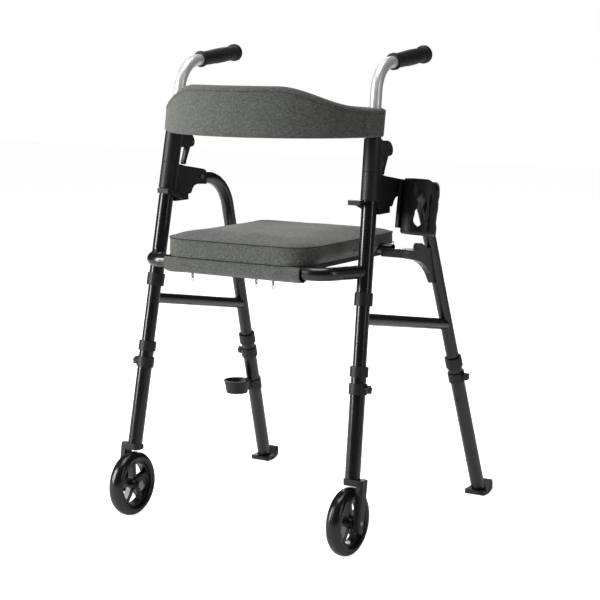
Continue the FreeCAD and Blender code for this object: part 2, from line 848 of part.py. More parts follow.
def fork_shape():
    """One-sided fork: a plug under the leg, a shoulder, and an arm outside the wheel."""
    inner = size("fork_inner_x")
    outer = size("fork_outer_x")
    wheel_z = size("wheel_rad")
    wheel_y = size("wheel_y")
    top = front_at(size("front_leg_low_z"))
    wide = size("fork_wide")
    half = wide / 2
    plug = Part.makeCylinder(size("outer_bore_rad") - 0.2, 40, top - FRONT_UP * 2, FRONT_UP)
    y_top = top.y + SHIFT
    shoulder = Part.makeBox(outer - top.x + 15, wide + 4, 12, at(top.x - 15, y_top - half - 2, 131))
    shoulder = shoulder.makeFillet(9.0, [e for e in shoulder.Edges
                                         if abs(e.tangentAt(0).z) > 0.9])
    top_cut = Part.makeCylinder(60, 40, top, FRONT_UP)
    shoulder = shoulder.cut(top_cut)
    outline = [
        at(inner, y_top + half, 141),
        at(inner, y_top - half, 141),
        at(inner, wheel_y - 11, wheel_z - 4),
        at(inner, wheel_y - 8, wheel_z - 16),
        at(inner, wheel_y, wheel_z - 20),
        at(inner, wheel_y + 8, wheel_z - 16),
        at(inner, wheel_y + 11, wheel_z - 4),
    ]
    arm_body = prism(outline, V(outer - inner, 0, 0))
    arm_body = arm_body.makeFillet(5.0, [e for e in arm_body.Edges
                                         if e.CenterOfMass.x > outer - 0.1 and e.Length > 15])
    body = plug.fuse([shoulder, arm_body])
    axle = Part.makeCylinder(size("axle_rad"), 80, at(inner - 40, wheel_y, wheel_z), X_AXIS)
    return body.cut(axle).removeSplitter()


fork = feature("wheel_fork_right", fork_shape())
fork_left = mirrored("wheel_fork_left", fork)

axle = cylinder(
    "axle_right", "Sizes.axle_rad", "Sizes.fork_outer_x - Sizes.wheel_x + Sizes.hub_wide / 2 + 1.5",
    at(size("wheel_x") - size("hub_wide") / 2 - 1.5, size("wheel_y"), size("wheel_rad")), X_AXIS,
)
axle_head = cylinder(
    "axle_head_right", "7", "5",
    at(size("wheel_x") - size("hub_wide") / 2 - 6.5, size("wheel_y"), size("wheel_rad")), X_AXIS,
)
axle_whole = fuse("axle_whole_right", [axle, axle_head])
leg_screws = []
for number, z in enumerate((171.5, 154.0)):
    spot = front_at(z) + V(3.6, size("outer_rad") * 0.965, -1.8)
    leg_screws.append(cylinder(f"leg_screw_{number}", "2.6", "1.8", spot, V(0.25, 0.96, -0.12)))
fork_bolts = group("fork_bolts_right", [axle_whole] + leg_screws)
fork_bolts_left = mirrored("fork_bolts_left", fork_bolts)


def wheel_shape():
    """Five-spoke wheel centre: hub, tapering spokes and rim."""
    centre = at(size("wheel_x"), size("wheel_y"), size("wheel_rad"))
    hub_wide = size("hub_wide")
    rim = size("rim_rad")
    body = Part.makeCylinder(size("hub_rad"), hub_wide, centre - X_AXIS * (hub_wide / 2), X_AXIS)
    hoop = Part.makeCylinder(rim, 18, centre - X_AXIS * 9, X_AXIS)
    hoop = hoop.cut(Part.makeCylinder(rim - 4.5, 18, centre - X_AXIS * 9, X_AXIS))
    body = body.fuse(hoop)
    wide = size("spoke_wide")
    count = int(size("spoke_count"))
    for i in range(count):
        spoke = prism(
            [
                V(-6, -wide / 2 - 1.5, 8), V(-6, wide / 2 + 1.5, 8),
                V(-6, wide / 2 - 0.5, rim - 2), V(-6, -wide / 2 + 0.5, rim - 2),
            ],
            V(12, 0, 0),
        )
        spoke.rotate(V(0, 0, 0), X_AXIS, 360.0 * i / count)
        spoke.translate(centre)
        body = body.fuse(spoke)
    bore = size("axle_rad") + size("axle_play")
    body = body.cut(Part.makeCylinder(bore, 60, centre - X_AXIS * 30, X_AXIS))
    return body.removeSplitter()


wheel = feature("wheel_right", wheel_shape())
wheel_left = mirrored("wheel_left", wheel)


def tyre_shape():
    """Solid tyre: a rounded band that sits on the rim."""
    centre = at(size("wheel_x"), size("wheel_y"), size("wheel_rad"))
    big = size("wheel_rad")
    rim = size("rim_rad")
    half = size("tyre_wide") / 2
    points = [V(-half + 3, 0, rim), V(half - 3, 0, rim), V(half, 0, rim + 5)]
    a = V(half, 0, rim + 5)
    b = V(half * 0.72, 0, big - 3.4)
    top = V(0, 0, big)
    c = V(-half * 0.72, 0, big - 3.4)
    d = V(-half, 0, rim + 5)
    edges = [
        Part.makeLine(points[0], points[1]),
        Part.makeLine(points[1], a),
        Part.makeLine(a, V(half, 0, rim + 9)),
        Part.Arc(V(half, 0, rim + 9), b, top).toShape(),
        Part.Arc(top, c, V(-half, 0, rim + 9)).toShape(),
        Part.makeLine(V(-half, 0, rim + 9), d),
        Part.makeLine(d, points[0]),
    ]
    ring = Part.Face(Part.Wire(edges)).revolve(V(0, 0, 0), X_AXIS, 360)
    ring.translate(centre)
    return Part.Solid(ring) if ring.ShapeType == "Shell" else ring


tyre = feature("tyre_right", tyre_shape())
tyre_left = mirrored("tyre_left", tyre)

# ---------------------------------------------------------------- rear feet
rear_foot_plain = straight_tube(
    "rear_foot_plain", "rear_foot_low_z", "rear_foot_top_z", "rear", "outer_rad",
    "outer_bore_rad", rear_at, REAR_UP,
)
button_hole = cylinder(
    "button_hole", "Sizes.button_hole_rad", "2 * Sizes.outer_rad + 4",
    rear_at(size("button_hole_z")) - V(0, size("outer_rad") + 2, 0), Y_AXIS,
)
rear_foot = cut("rear_foot_tube_right", rear_foot_plain, button_hole)
rear_foot_left = mirrored("rear_foot_tube_left", rear_foot)
foot_rings = feature(
    "rear_foot_rings_right",
    rings_shape("rear_collar_low_z", "rear_collar_top_z", "rear_clamp_low_z", "rear_clamp_top_z",
                rear_at, REAR_UP),
)
foot_rings_left = mirrored("rear_foot_rings_left", foot_rings)
knob_rear = feature("knob_rear_right", knob_shape(rear_at(rear_clamp_mid), REAR_UP))
knob_rear_left = mirrored("knob_rear_left", knob_rear)


def glide_shape():
    """Ski-shaped glide: a flat sole that curls up at the rear, and a socket under the leg."""
    thick = size("glide_thick")
    foot = rear_at(size("rear_foot_low_z"))
    half = size("glide_wide") / 2
    x = foot.x
    front = size("glide_front_y")
    rear = size("glide_rear_y")
    tip_y = size("glide_tip_y")
    tip_z = size("glide_tip_z")
    side = [
        at(x - half, front, 2.5),
        at(x - half, front + 3, 0),
        at(x - half, rear - 16, 0),
        at(x - half, rear - 5, 3),
        at(x - half, tip_y - 8, 10),
        at(x - half, tip_y, tip_z - 3),
        at(x - half, tip_y - 1, tip_z),
        at(x - half, tip_y - 5, tip_z + 1.5),
        at(x - half, tip_y - 9, tip_z),
        at(x - half, rear - 4, 14),
        at(x - half, rear - 12, thick + 0.6),
        at(x - half, rear - 18, thick),
        at(x - half, front + 4, thick),
        at(x - half, front, thick - 3),
    ]
    sole = prism(side, V(2 * half, 0, 0))
    plan = [
        at(x - half, front, -5), at(x + half, front, -5), at(x + half, rear + 4, -5),
        at(x + half * 0.6, tip_y + 1, -5), at(x - half * 0.6, tip_y + 1, -5),
        at(x - half, rear + 4, -5),
    ]
    outline = prism(plan, V(0, 0, 60))
    outline = outline.makeFillet(6.0, [e for e in outline.Edges
                                       if abs(e.tangentAt(e.FirstParameter).z) > 0.9])
    sole = sole.common(outline)
    leg_room = Part.makeCylinder(size("outer_rad"), 80, foot, REAR_UP)
    sole = sole.cut(leg_room)
    socket = Part.makeCylinder(size("outer_bore_rad") - 0.2, 48, rear_at(4), REAR_UP)
    cuff = Part.makeCylinder(size("outer_rad") + 1.4, 16, rear_at(5), REAR_UP)
    cuff = cuff.cut(Part.makeCylinder(60, 40, rear_at(size("rear_foot_low_z")), REAR_UP))
    floor = Part.makeBox(300, 300, 20, at(x - 150, front - 50, -20))
    return sole.fuse([socket, cuff]).cut(floor).removeSplitter()


glide = feature("glide_right", glide_shape())
glide_left = mirrored("glide_left", glide)


def cane_shape():
    """Tapered cup on the left rear leg that holds the tip of a walking cane."""
    high = size("cane_rim_z")
    low = size("cane_low_z")
    r1 = size("cane_low_rad")
    r2 = size("cane_top_rad")
    wall = size("cane_wall")
    leg = rear_at((high + low) / 2)
    x = -leg.x - size("cane_out_x")
    y = leg.y + SHIFT - size("cane_ahead_y")
    cup = Part.makeCone(r1, r2, high - low, at(x, y, low))
    lip = Part.makeCylinder(r2 + 1.2, 3, at(x, y, high - 3))
    arm_bar = Part.makeBox(14, size("cane_ahead_y") - r1 + 2, 18, V(-7, r1 - 2, low + 5))
    arm_bar.Placement = FreeCAD.Placement(
        at(x, y, 0), FreeCAD.Rotation(Y_AXIS, V(size("cane_out_x"), size("cane_ahead_y"), 0)),
    )
    band_base = rear_at(low + 3)
    band_base = V(-band_base.x, band_base.y, band_base.z)
    up = V(-REAR_UP.x, REAR_UP.y, REAR_UP.z)
    band = Part.makeCylinder(size("outer_rad") + 2.2, 24, band_base, up)
    cup = cup.fuse([lip, arm_bar, band])
    cup = cup.cut(Part.makeCone(r1 - wall, r2 - wall + 0.6, high - low, at(x, y, low + wall)))
    long_rod = Part.makeCylinder(size("outer_rad"), 120, band_base - up * 40, up)
    solids = sorted(cup.cut(long_rod).removeSplitter().Solids, key=lambda s: s.Volume)
    return solids[-1]


cane_cup = feature("cane_cup", cane_shape())

# ---------------------------------------------------------------- handles
HANDLE_CORNER = front_at(size("handle_corner_z"))
GRIP_DIR = V(0, 1, size("grip_rise")).normalize()


def grip_point(y):
    """Point of the right-hand grip axis at distance y to the rear."""
    run = y - SHIFT - HANDLE_CORNER.y
    return HANDLE_CORNER + V(0, run, run * size("grip_rise"))


def handle_path():
    """Up the upright, one large bend, then back into the grip."""
    low = front_at(size("handle_low_z"))
    return rounded_path([low, HANDLE_CORNER, grip_point(size("grip_end_y") - 8)],
                        [size("handle_bend_rad")])


handle = feature(
    "handle_tube_right", tube_along(handle_path(), size("handle_rad"), size("handle_bore_rad")),
)
handle_left = mirrored("handle_tube_left", handle)


def grip_shape():
    """Rubber grip: a slightly barrelled sleeve with a rim in front and a flange behind."""
    start = grip_point(size("grip_front_y"))
    long = (grip_point(size("grip_end_y")) - start).Length
    rad = size("grip_rad")
    flange = size("grip_flange_rad")
    profile = [
        (0, 0), (rad + 0.2, 0), (rad + 0.9, 2), (rad + 0.9, 6), (rad - 0.9, 12),
        (rad - 1.2, 30), (rad + 0.4, long * 0.5), (rad - 0.6, long - 26), (rad - 0.8, long - 16),
        (flange - 0.8, long - 12), (flange, long - 9), (flange, long - 3), (flange - 2, long),
        (0, long),
    ]
    points = [V(r, 0, w) for r, w in profile]
    body = Part.Face(Part.makePolygon(points + [points[0]])).revolve(V(0, 0, 0), Z_AXIS, 360)
    body = body.cut(Part.makeCylinder(size("handle_rad"), long - 8, V(0, 0, 0)))
    body.Placement = FreeCAD.Placement(start, FreeCAD.Rotation(Z_AXIS, GRIP_DIR))
    return body.cut(rod_along(handle_path(), size("handle_rad"))).removeSplitter()


grip = feature("grip_right", grip_shape())
grip_left = mirrored("grip_left", grip)


def lever_shape():
    """Lock lever: a round boss on the pin, a hanging blade and a rounded tip."""
    pivot = V(pin_x, size("lever_pivot_y") - SHIFT, size("lever_pivot_z"))
    thick = size("lever_thick")
    left = pivot - X_AXIS * (thick / 2)
    boss = Part.makeCylinder(6.5, thick, left, X_AXIS)
    long = size("lever_long")
    tip_y = -long * 0.40
    tip_z = -long * 0.92
    tip = Part.makeCylinder(4.6, thick, left + V(0, tip_y, tip_z), X_AXIS)
    blade = prism(
        [
            left + V(0, -6, 1), left + V(0, 6, -2), left + V(0, tip_y + 4.4, tip_z + 1.5),
            left + V(0, tip_y - 4.4, tip_z - 1),
        ],
        V(thick, 0, 0),
    )
    body = boss.fuse([blade, tip])
    pin = Part.makeCylinder(size("lever_pin_rad") + 0.06, thick + 10, left - X_AXIS * 5, X_AXIS)
    return body.cut(pin).removeSplitter()


lever = feature("handle_lever_right", lever_shape())
lever_left = mirrored("handle_lever_left", lever)

# ---------------------------------------------------------------- seat
SEAT_TUBE_Z = size("seat_low_z") + size("seat_tube_rad")


def cushion_shape():
    """Foam cushion with rounded corners and a channel underneath for the rear tube."""
    half = size("seat_half_wide")
    front = size("seat_front_y")
    rear = size("seat_rear_y")
    low = size("seat_low_z")
    block = Part.makeBox(2 * half, rear - front, size("seat_edge_z") - low, at(-half, front, low))
    upright_edges = [e for e in block.Edges if abs(e.tangentAt(e.FirstParameter).z) > 0.9]
    block = block.makeFillet(size("seat_corner_rad"), upright_edges)
    top = size("seat_edge_z")
    rim_edges = [e for e in block.Edges if e.BoundBox.ZMin > top - 0.1]
    block = block.makeFillet(size("seat_edge_rad"), rim_edges)
    channel = size("seat_tube_rad") + 0.1
    slot = Part.makeBox(
        2 * half + 40, 2 * channel, channel + SEAT_TUBE_Z - low + 10,
        at(-half - 20, size("seat_tube_y") - channel, low - 10),
    )
    groove = size("clip_rad") + 0.6 + size("cover_thick")
    tube_room = Part.makeCylinder(
        groove, 2 * half + 40, at(-half - 20, size("cross_front_y"), size("cross_z")), X_AXIS,
    )
    return block.cut(slot).cut(tube_room).removeSplitter()


cushion = feature("seat_cushion", cushion_shape())

board_box = box(
    "seat_board_blank", "2 * (Sizes.seat_half_wide - Sizes.board_inset)",
    "Sizes.seat_rear_y - Sizes.board_inset - Sizes.board_front_y", "Sizes.board_thick",
    at(-size("seat_half_wide") + size("board_inset"), size("board_front_y"),
       size("seat_low_z") - size("board_thick")),
)
clip_room = doc.addObject("Part::Cylinder", "clip_room")
clip_room.setExpression("Radius", "Sizes.clip_rad")
clip_room.setExpression("Height", "2 * Sizes.seat_half_wide")
place(clip_room, at(-size("seat_half_wide"), size("cross_front_y"), size("cross_z")), X_AXIS)
seat_board = cut("seat_board", board_box, clip_room)

seat_tube_out = cylinder(
    "seat_tube_outside", "Sizes.seat_tube_rad", "2 * Sizes.seat_tube_half",
    at(-size("seat_tube_half"), size("seat_tube_y"), SEAT_TUBE_Z), X_AXIS,
)
seat_tube_in = cylinder(
    "seat_tube_bore", "Sizes.seat_tube_bore_rad", "2 * Sizes.seat_tube_half",
    at(-size("seat_tube_half"), size("seat_tube_y"), SEAT_TUBE_Z), X_AXIS,
)
seat_tube = cut("seat_rear_tube", seat_tube_out, seat_tube_in)


def clips_shape():
    """Two moulded clips that turn on the cross tube and carry the seat board."""
    y = size("cross_front_y")
    z = size("cross_z")
    wide = size("clip_wide")
    clips = []
    for sign in (1, -1):
        x = sign * size("clip_x") - wide / 2
        ring = Part.makeCylinder(size("clip_rad"), wide, at(x, y, z), X_AXIS)
        tongue = Part.makeBox(wide, 96, 8, at(x, y + 5, size("seat_low_z") - size("board_thick") - 8))
        body = ring.fuse(tongue)
        board_low = size("seat_low_z") - size("board_thick")
        body = body.cut(Part.makeBox(wide + 2, 200, 30, at(x - 1, size("board_front_y"), board_low)))
        bore = size("cross_rad") + size("clip_play")
        body = body.cut(Part.makeCylinder(bore, wide + 2, at(x - 1, y, z), X_AXIS))
        clips.append(body.removeSplitter())
    return Part.makeCompound(clips)


seat_clips = feature("seat_clips", clips_shape())


def cover_shape():
    """Fabric sleeve that wraps the front of the seat down and round the cross tube."""
    y = size("cross_front_y")
    z = size("cross_z")
    outer = size("clip_rad") + 0.4 + size("cover_thick")
    inner = size("clip_rad") + 0.4
    half = size("cover_half")
    low = size("seat_low_z")
    sleeve = Part.makeCylinder(outer, 2 * half, at(-half, y, z), X_AXIS)
    sleeve = sleeve.fuse(Part.makeBox(2 * half, outer, low - z, at(-half, y - outer, z)))
    sleeve = sleeve.cut(Part.makeCylinder(inner, 2 * half, at(-half, y, z), X_AXIS))
    sleeve = sleeve.cut(Part.makeBox(2 * half, inner, low - z, at(-half, y - inner, z)))
    sleeve = sleeve.cut(Part.makeBox(2 * half, 60, 60, at(-half, y, z)))
    sleeve = sleeve.cut(Part.makeBox(2 * half, 60, 60, at(-half, y + 11, z - 40)))
    solids = sorted(sleeve.removeSplitter().Solids, key=lambda s: s.Volume)
    return solids[-1]


seat_cover = feature("seat_sleeve", cover_shape())

doc.recompute()

NODES = [
    upright, upright_left, cross_tube, hinge_collars, collar_screws, clamp, clamp_left, lever_pins,
    handle_bushes, bow, pad, pivot_tube, pivot_tube_left, rear_leg, rear_leg_left, hinge_arm, hinge_arm_left,
    rail, rail_left, bracket, bracket_left, side_screws, side_screws_left, cup_holder, paddle,
    paddle_left, front_leg, front_leg_left, front_rings, front_rings_left, knob_front,
    knob_front_left, fork, fork_left, fork_bolts, fork_bolts_left, wheel, wheel_left, tyre,
    tyre_left, rear_foot, rear_foot_left, foot_rings, foot_rings_left, knob_rear,
    knob_rear_left, glide, glide_left, cane_cup, handle, handle_left, grip, grip_left, lever,
    lever_left, cushion, seat_board, seat_tube, seat_clips, seat_cover,
]

for obj in NODES:
    if obj.TypeId != "Part::Mirroring":
        moved = FreeCAD.Placement(V(-SIDE_SHIFT, 0, 0), FreeCAD.Rotation())
        obj.Placement = moved.multiply(obj.Placement)
doc.recompute()

for obj in doc.Objects:
    if "Invalid" in obj.State or "Error" in obj.State:
        raise RuntimeError(f"{obj.Label} failed: {obj.State}")

for obj in NODES:
    if obj.Shape.isNull() or not obj.Shape.isValid():
        raise RuntimeError(f"{obj.Label} has no valid shape")

os.makedirs("parts", exist_ok=True)
for obj in NODES:
    obj.Shape.exportStep(f"parts/{obj.Label}.step")
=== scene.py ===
import json
import math

import bmesh
import bpy
import numpy as np
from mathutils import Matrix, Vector, noise


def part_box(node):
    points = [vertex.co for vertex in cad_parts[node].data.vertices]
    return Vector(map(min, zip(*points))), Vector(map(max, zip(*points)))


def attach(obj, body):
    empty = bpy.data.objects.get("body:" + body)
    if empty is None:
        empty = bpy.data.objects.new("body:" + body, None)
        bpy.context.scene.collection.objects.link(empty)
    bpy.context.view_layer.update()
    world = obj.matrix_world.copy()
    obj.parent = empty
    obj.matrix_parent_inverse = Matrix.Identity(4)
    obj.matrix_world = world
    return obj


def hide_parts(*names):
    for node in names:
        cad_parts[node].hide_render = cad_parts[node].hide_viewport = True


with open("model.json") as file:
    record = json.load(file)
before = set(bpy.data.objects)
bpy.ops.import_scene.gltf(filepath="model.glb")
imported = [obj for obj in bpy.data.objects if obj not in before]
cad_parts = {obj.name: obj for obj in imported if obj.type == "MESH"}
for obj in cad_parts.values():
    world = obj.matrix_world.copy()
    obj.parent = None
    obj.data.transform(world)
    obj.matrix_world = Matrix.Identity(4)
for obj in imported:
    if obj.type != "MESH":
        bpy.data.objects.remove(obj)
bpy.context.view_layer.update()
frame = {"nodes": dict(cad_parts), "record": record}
NODES = frame["nodes"]
SIDES = ("right", "left")


# ------------------------------------------------------------------ materials
class Shader:
    """A procedural material being built, node by node."""

    def __init__(self, name, color=(0.8, 0.8, 0.8), roughness=0.5, metallic=0.0, **plain):
        self.mat = bpy.data.materials.new(name)
        self.mat.use_nodes = True
        self.tree = self.mat.node_tree
        self.bsdf = self.tree.nodes["Principled BSDF"]
        self.set("Base Color", (*color, 1.0))
        self.set("Roughness", roughness)
        self.set("Metallic", metallic)
        for key, value in plain.items():
            self.set(key.replace("_", " "), value)

    def set(self, socket, value):
        """Sets an unlinked input of the surface shader."""
        self.bsdf.inputs[socket].default_value = value

    def node(self, kind, **values):
        """A new node with its properties and unlinked inputs set."""
        made = self.tree.nodes.new(kind)
        for key, value in values.items():
            if hasattr(made, key):
                setattr(made, key, value)
            else:
                made.inputs[key.replace("_", " ")].default_value = value
        return made

    def link(self, out, into):
        """Joins an output to an input."""
        self.tree.links.new(out, into)

    def coords(self, scale=(1.0, 1.0, 1.0), turn=(0.0, 0.0, 0.0)):
        """Object coordinates in metres, scaled and turned."""
        tex = self.node("ShaderNodeTexCoord")
        place = self.node("ShaderNodeMapping")
        place.inputs["Scale"].default_value = scale
        place.inputs["Rotation"].default_value = turn
        self.link(tex.outputs["Object"], place.inputs["Vector"])
        return place.outputs["Vector"]

    def noise(self, scale, detail=2.0, rough=0.5, vector=None):
        """A noise texture's grey value."""
        tex = self.node("ShaderNodeTexNoise")
        tex.inputs["Scale"].default_value = scale
        tex.inputs["Detail"].default_value = detail
        tex.inputs["Roughness"].default_value = rough
        self.link(vector if vector is not None else self.coords(), tex.inputs["Vector"])
        return tex.outputs["Fac"]

    def ramp(self, value, stops):
        """A colour ramp through (position, colour) stops."""
        ramp = self.node("ShaderNodeValToRGB")
        line = ramp.color_ramp
        while len(line.elements) < len(stops):
            line.elements.new(0.5)
        for element, (position, color) in zip(line.elements, stops):
            element.position = position
            element.color = (*color, 1.0)
        self.link(value, ramp.inputs["Fac"])
        return ramp.outputs["Color"]

    def range(self, value, low, high, start=0.0, end=1.0):
        """Maps a grey value from start..end to low..high."""
        made = self.node("ShaderNodeMapRange")
        made.inputs["From Min"].default_value = start
        made.inputs["From Max"].default_value = end
        made.inputs["To Min"].default_value = low
        made.inputs["To Max"].default_value = high
        self.link(value, made.inputs["Value"])
        return made.outputs["Result"]

    def math(self, kind, a, b):
        """Arithmetic on two values, either of which may be a number."""
        made = self.node("ShaderNodeMath", operation=kind)
        for socket, value in zip(made.inputs, (a, b)):
            if isinstance(value, (int, float)):
                socket.default_value = value
            else:
                self.link(value, socket)
        return made.outputs["Value"]

    def bump(self, height, strength, distance, soften=0.0):
        """Bump from height, over edges softened by soften metres."""
        made = self.node("ShaderNodeBump")
        made.inputs["Strength"].default_value = strength
        made.inputs["Distance"].default_value = distance
        self.link(height, made.inputs["Height"])
        if soften:
            edge = self.node("ShaderNodeBevel", samples=6)
            edge.inputs["Radius"].default_value = soften
            self.link(edge.outputs["Normal"], made.inputs["Normal"])
        self.link(made.outputs["Normal"], self.bsdf.inputs["Normal"])


def powder_coat():
    """Semi-gloss black powder coat: faint orange peel and dust-fine roughness changes."""
    s = Shader("powder_coat", (0.0040, 0.0040, 0.0043), 0.27, Coat_Weight=0.35, Coat_Roughness=0.12)
    s.link(s.range(s.noise(26.0, 4.0), 0.22, 0.34), s.bsdf.inputs["Roughness"])
    s.bump(s.noise(900.0, 2.0), 0.10, 0.0002, 0.0008)
    return s.mat


def moulded(name, color, roughness, grain=1500.0, depth=0.0003, edge=0.0012):
    """Moulded plastic with a spark-eroded grain and rubbed, slightly shinier edges."""
    s = Shader(name, color, roughness)
    cloud = s.noise(34.0, 4.0, 0.6)
    s.link(s.range(cloud, roughness - 0.08, roughness + 0.10), s.bsdf.inputs["Roughness"])
    dark = tuple(c * 0.82 for c in color)
    pale = tuple(c * 1.25 for c in color)
    s.link(s.ramp(s.noise(11.0, 3.0), [(0.3, dark), (0.7, pale)]), s.bsdf.inputs["Base Color"])
    s.bump(s.noise(grain, 3.0, 0.6), 0.35, depth, edge)
    return s.mat


def polished_tube():
    """Satin aluminium with fine drawing lines along the tube."""
    s = Shader("polished_tube", (0.94, 0.94, 0.93), 0.36, 0.55)
    lines = s.noise(3.0, 6.0, 0.7, s.coords((700.0, 700.0, 18.0)))
    s.link(s.range(lines, 0.28, 0.44), s.bsdf.inputs["Roughness"])
    s.bump(lines, 0.05, 0.0001)
    return s.mat


def zinc_screw():
    """Yellowish zinc-plated steel."""
    s = Shader("zinc_screw", (0.34, 0.30, 0.24), 0.40, 1.0)
    s.link(s.range(s.noise(300.0, 3.0), 0.24, 0.45), s.bsdf.inputs["Roughness"])
    s.bump(s.noise(1200.0, 2.0), 0.2, 0.0001, 0.0003)
    return s.mat


def heather_fabric():
    """Grey melange canvas: crossed slubby threads of dark and pale yarn over a plain weave."""
    s = Shader("heather_fabric", (0.1, 0.1, 0.1), 0.92, Sheen_Weight=0.25, Sheen_Roughness=0.5)
    across = s.noise(1.0, 3.0, 0.62, s.coords((150.0, 150.0, 900.0)))
    upward = s.noise(1.0, 3.0, 0.62, s.coords((820.0, 820.0, 150.0), (0.0, 0.0, 0.4)))
    speck = s.noise(1400.0, 2.0, 0.7)
    threads = s.math("ADD", s.math("MULTIPLY", across, 0.42), s.math("MULTIPLY", upward, 0.34))
    threads = s.math("ADD", threads, s.math("MULTIPLY", speck, 0.24))
    dark = (0.026, 0.028, 0.024)
    mid = (0.098, 0.104, 0.091)
    pale = (0.215, 0.224, 0.198)
    yarn = s.ramp(threads, [(0.36, dark), (0.50, mid), (0.64, pale)])
    s.link(yarn, s.bsdf.inputs["Base Color"])
    bands = []
    for direction in ("X", "Z"):
        wave = s.node("ShaderNodeTexWave", wave_type="BANDS", bands_direction=direction)
        wave.inputs["Scale"].default_value = 260.0
        s.link(s.coords(), wave.inputs["Vector"])
        bands.append(wave.outputs["Fac"])
    weave = s.math("MULTIPLY", *bands)
    height = s.math("ADD", s.math("MULTIPLY", weave, 0.4), threads)
    s.bump(height, 0.5, 0.0006)
    return s.mat


COAT = powder_coat()
PLASTIC = moulded("black_plastic", (0.0065, 0.0065, 0.0068), 0.46)
WHEEL_PLASTIC = moulded("wheel_plastic", (0.007, 0.007, 0.0075), 0.28, 700.0, 0.0001, 0.0015)
TYRE = moulded("tyre_rubber", (0.006, 0.006, 0.0062), 0.24, 500.0, 0.0001, 0.0008)
RUBBER = moulded("grip_rubber", (0.0105, 0.0105, 0.011), 0.60, 2200.0, 0.0004, 0.0008)
BOARD = moulded("board_plastic", (0.016, 0.016, 0.016), 0.62)
POLISHED = polished_tube()
ZINC = zinc_screw()
FABRIC = heather_fabric()

BY_SLOT = {
    "black_tube": COAT, "black_plastic": PLASTIC, "polished_tube": POLISHED, "grip_rubber": RUBBER,
    "tyre_rubber": TYRE, "wheel_plastic": WHEEL_PLASTIC, "screw_steel": ZINC, "grey_fabric": FABRIC,
    "board_panel": BOARD, "spring_steel": ZINC,
}
SLOT_OF = {part["node"]: part["material_slot"] for part in frame["record"]["subparts"]}
for name, obj in NODES.items():
    for slot in obj.material_slots:
        slot.material = BY_SLOT[SLOT_OF[name]]

# Painted shade: the dark lines on the cushion's top and bottom seams stand for shade in the seam
# grooves; the zip line uses the same dark colour as a real zip.
SEAM_SHADE_AND_ZIP = moulded("seam_shade_and_zip", (0.020, 0.021, 0.019), 0.85, 2500.0)
LAP = moulded("lap_thread", (0.055, 0.058, 0.052), 0.9, 2500.0)
WEBBING = moulded("webbing", (0.008, 0.008, 0.008), 0.8, 2500.0, 0.0005)

# ------------------------------------------------------------------ mesh tools
MERGE_WITHIN = 0.00002


def add_piece(name, verts, faces, material, body=None):
    """A smooth mesh object with outward normals."""
    mesh = bpy.data.meshes.new(name)
    mesh.from_pydata([tuple(map(float, v)) for v in verts], [], faces)
    work = bmesh.new()
    work.from_mesh(mesh)
    bmesh.ops.remove_doubles(work, verts=work.verts, dist=MERGE_WITHIN)
    bmesh.ops.recalc_face_normals(work, faces=work.faces)
    work.to_mesh(mesh)
    work.free()
    mesh.polygons.foreach_set("use_smooth", [True] * len(mesh.polygons))
    obj = bpy.data.objects.new(name, mesh)
    bpy.context.scene.collection.objects.link(obj)
    mesh.materials.append(material)
    if body:
        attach(obj, body)
    return obj


def points_of(mesh):
    """The mesh's vertices as an array of rows."""
    flat = np.zeros(len(mesh.vertices) * 3)
    mesh.vertices.foreach_get("co", flat)
    return flat.reshape(-1, 3)


def inflate(obj, pinned, most, pressure=4.0, frames=20):
    """Cloth under inner pressure; each free vertex moves no further than its own most."""
    start = points_of(obj.data)
    held = obj.vertex_groups.new(name="held")
    held.add([int(i) for i in np.nonzero(pinned)[0]], 1.0, "REPLACE")
    cloth = obj.modifiers.new("cloth", "CLOTH")
    cloth.settings.vertex_group_mass = "held"
    cloth.settings.use_pressure = True
    cloth.settings.uniform_pressure_force = pressure
    cloth.settings.effector_weights.gravity = 0.0
    cloth.settings.quality = 4
    cloth.settings.mass = 0.3
    cloth.collision_settings.use_collision = False
    cloth.point_cache.frame_start = 1
    cloth.point_cache.frame_end = frames
    for frame_number in range(1, frames + 1):
        bpy.context.scene.frame_set(frame_number)
    shown = obj.evaluated_get(bpy.context.evaluated_depsgraph_get())
    after = points_of(shown.data)
    obj.modifiers.remove(cloth)
    bpy.context.scene.frame_set(1)
    move = after - start
    far = np.linalg.norm(move, axis=1) + 1e-12
    move *= (most * np.tanh(far / np.maximum(most, 1e-9)) / far)[:, None]
    obj.data.vertices.foreach_set("co", (start + move).ravel())
    obj.data.update()


def subdivide(obj):
    """One applied round of subdivision."""
    mod = obj.modifiers.new("smooth", "SUBSURF")
    mod.levels = 1
    mod.render_levels = 1
    shown = obj.evaluated_get(bpy.context.evaluated_depsgraph_get())
    fresh = bpy.data.meshes.new_from_object(shown)
    obj.modifiers.remove(mod)
    obj.data = fresh


def ring_along(points, radius, sides, closed):
    """Vertices and faces of a round bar along points, capped unless closed."""
    points = [Vector(p) for p in points]
    count = len(points)
    verts, faces = [], []
    side = None
    for i, p in enumerate(points):
        if closed:
            tangent = points[(i + 1) % count] - points[i - 1]
        else:
            tangent = points[min(i + 1, count - 1)] - points[max(i - 1, 0)]
        tangent.normalize()
        if side is None:
            side = tangent.orthogonal().normalized()
            if abs(tangent.z) < 0.8:
                side = tangent.cross(Vector((0, 0, 1))).normalized()
        side = (side - tangent * side.dot(tangent)).normalized()
        up = tangent.cross(side)
        for k in range(sides):
            turn = 2 * math.pi * k / sides
            verts.append(p + side * math.cos(turn) * radius + up * math.sin(turn) * radius)
    last = count if closed else count - 1
    for i in range(last):
        j = (i + 1) % count
        for k in range(sides):
            m = (k + 1) % sides
            faces.append((i * sides + k, i * sides + m, j * sides + m, j * sides + k))
    if not closed:
        faces.append(tuple(range(sides)))
        faces.append(tuple(range((count - 1) * sides, count * sides)))
    return verts, faces


def ease(value, low, high):
    """Smooth step from 0 at low to 1 at high."""
    t = min(max((value - low) / (high - low), 0.0), 1.0)
    return t * t * (3 - 2 * t)


